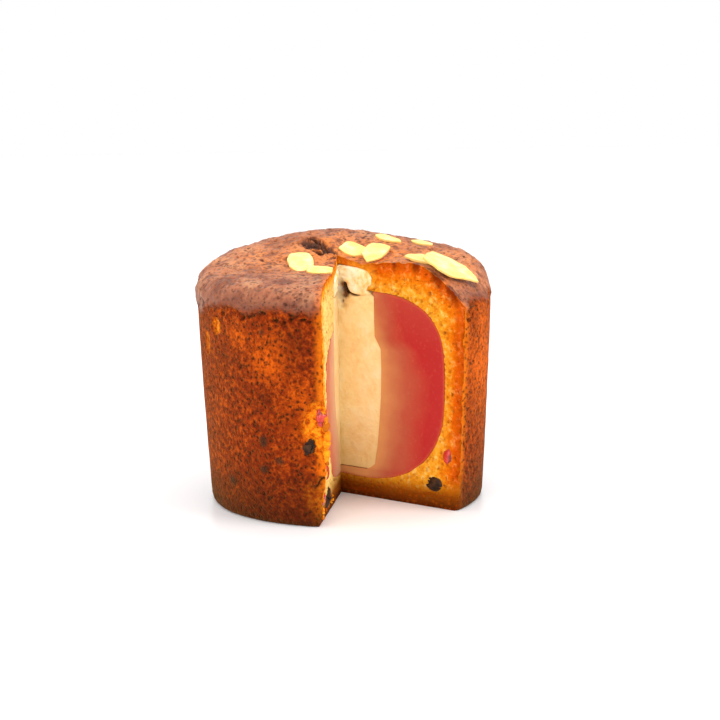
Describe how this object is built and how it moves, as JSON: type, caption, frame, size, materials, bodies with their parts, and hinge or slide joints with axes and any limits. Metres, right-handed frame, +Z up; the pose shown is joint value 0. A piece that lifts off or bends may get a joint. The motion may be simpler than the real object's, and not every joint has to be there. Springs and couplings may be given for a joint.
{
  "type": "pound cake",
  "caption": "Small tall round pound cake with a slice cut out, showing a cored fruit filled with cream inside the sponge, dried fruit in the crumb and almond slices baked onto the domed top.",
  "frame": {"origin": "on the cake's own axis, on the flat base that it stands on", "axes": "+Z up, -Y towards the side where the slice is missing, +X to the right seen from that side"},
  "size_m": [0.0782, 0.0779, 0.0701],
  "materials": {
    "sponge": "baked sponge, brown crust outside and open golden crumb on the cuts, matte",
    "fruit": "poached fruit flesh, red at the rim and pale pink towards the core, moist",
    "cream": "cheese cream, pale yellow, softly moist",
    "almond": "sliced almond, pale yellow, matte",
    "raisin": "dried raisin, wrinkled, nearly black brown, slight sheen",
    "cherry": "candied cherry, deep red, glossy"
  },
  "bodies": {
    "root": {"almond_1": "almond", "almond_2": "almond", "almond_3": "almond", "almond_4": "almond", "almond_5": "almond", "almond_6": "almond", "almond_7": "almond", "almond_8": "almond", "almond_9": "almond", "almond_10": "almond", "almond_11": "almond", "cherry_1": "cherry", "cherry_2": "cherry", "cherry_3": "cherry", "cherry_4": "cherry", "cream": "cream", "fruit": "fruit", "raisin_1": "raisin", "raisin_2": "raisin", "raisin_3": "raisin", "raisin_4": "raisin", "raisin_5": "raisin", "sponge": "sponge"}
  },
  "joints": []
}
